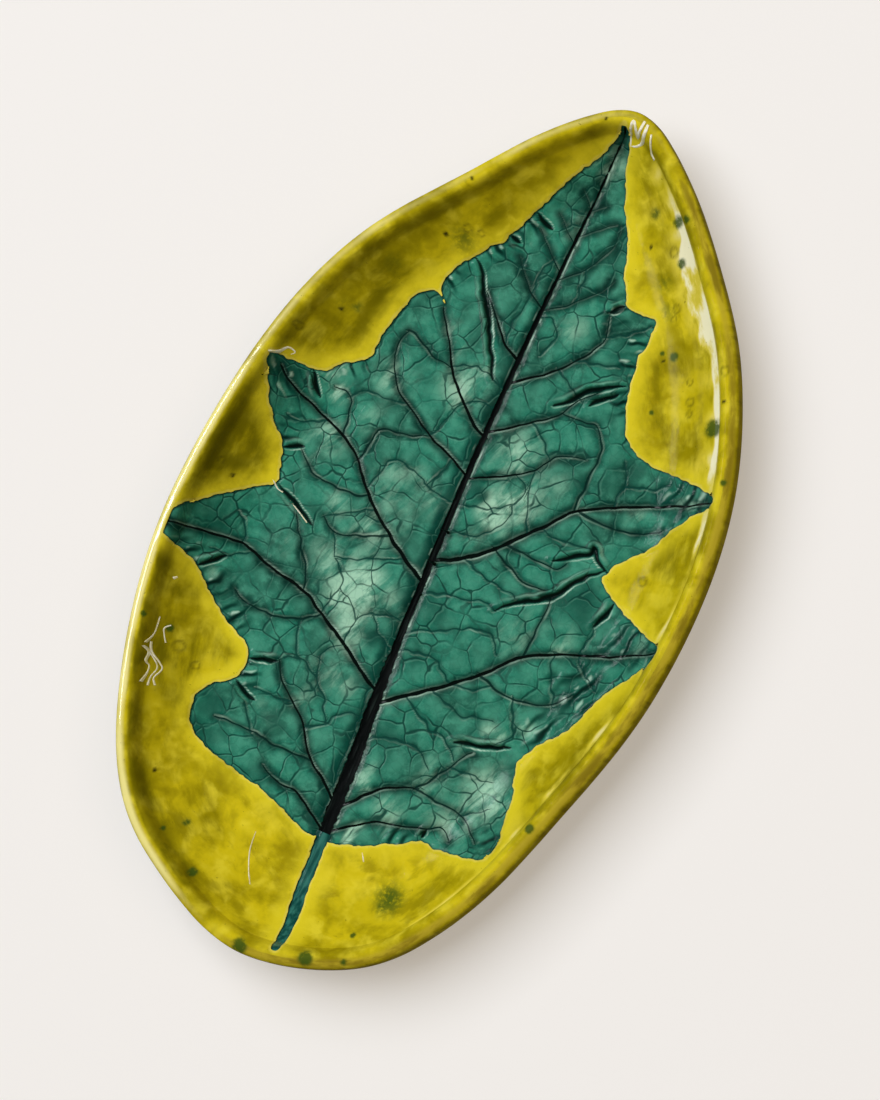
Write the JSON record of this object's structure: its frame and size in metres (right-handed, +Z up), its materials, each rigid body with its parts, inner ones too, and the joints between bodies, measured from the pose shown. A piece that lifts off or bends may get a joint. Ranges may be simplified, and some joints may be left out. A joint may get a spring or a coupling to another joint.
{
  "type": "serving tray",
  "caption": "Ovate glazed earthenware serving tray with a pointed end, a rolled rim, a foot ring and a pressed leaf impression in its well.",
  "frame": {"origin": "on the table plane, under the middle of the tray's box", "axes": "+Y along the tray towards its pointed end, +Z up out of the well, +X across"},
  "size_m": [0.2072, 0.35, 0.032],
  "materials": {
    "clay": "bare fired earthenware, matt",
    "yellow_glaze": "glossy mustard glaze with copper specks",
    "leaf_glaze": "glossy green glaze",
    "stem_glaze": "glossy blue-green glaze",
    "vein_glaze": "near-black oxide under gloss"
  },
  "bodies": {
    "root": {"slab_body": "clay", "rim_coil": "clay", "foot_ring": "clay", "well_glaze": "yellow_glaze", "rim_glaze": "yellow_glaze", "outer_glaze": "yellow_glaze", "leaf_glaze": "leaf_glaze", "stem_glaze": "stem_glaze", "midrib_inlay": "vein_glaze", "side_vein_inlays": "vein_glaze", "branch_vein_inlays": "vein_glaze"}
  },
  "joints": []
}
